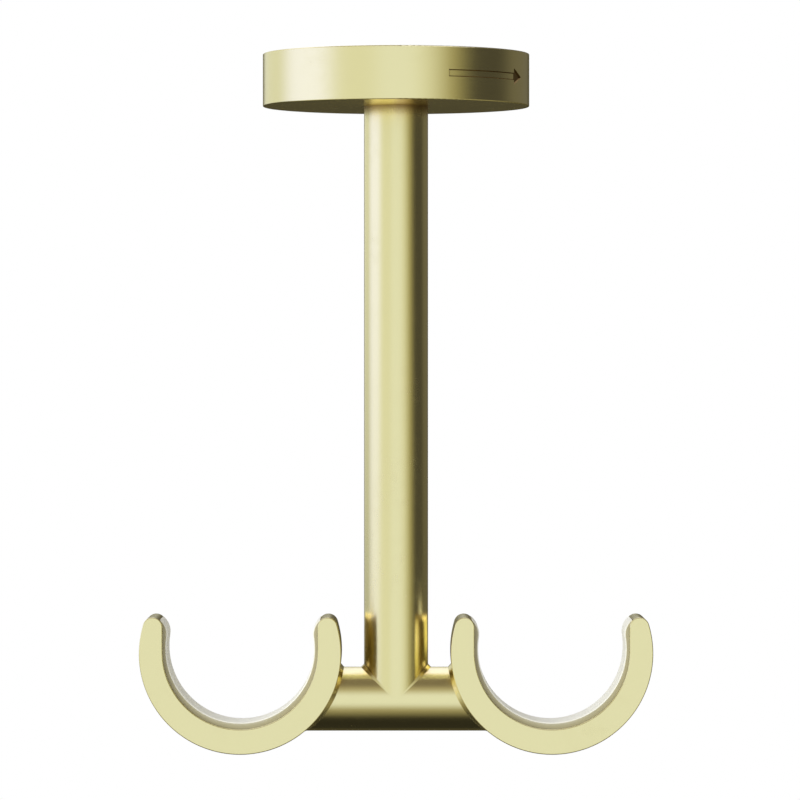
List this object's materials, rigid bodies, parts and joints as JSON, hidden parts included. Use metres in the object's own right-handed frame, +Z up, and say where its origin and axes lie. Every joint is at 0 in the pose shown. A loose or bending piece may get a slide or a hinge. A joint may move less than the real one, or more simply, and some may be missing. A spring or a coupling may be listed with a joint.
{
  "type": "ceiling curtain rod bracket",
  "caption": "Ceiling bracket that hangs curtain poles in open C-shaped cradles from a stem and a round canopy.",
  "frame": {"origin": "centre of the ceiling face, on the stem's axis", "axes": "+Z up out of the ceiling face, along the stem; +X along the crossbar; +Y along the poles, away from the viewer of the picture"},
  "size_m": [0.0982, 0.0512, 0.1341],
  "materials": {
    "satin_brass": "satin",
    "zinc_steel": "satin",
    "clear_plastic": "gloss"
  },
  "bodies": {
    "root": {"canopy": "satin_brass", "canopy_grub_screw": "zinc_steel", "ceiling_plate": "zinc_steel", "stem_bolt": "zinc_steel", "flat_washer": "zinc_steel", "spring_washer": "zinc_steel", "stem_plug": "zinc_steel", "stem_tube": "satin_brass", "crossbar_tube": "satin_brass", "stem_joint_fillet": "satin_brass", "left_cradle": "satin_brass", "left_joint_fillet": "satin_brass", "left_liner": "clear_plastic", "right_cradle": "satin_brass", "right_joint_fillet": "satin_brass", "right_liner": "clear_plastic"}
  },
  "joints": []
}
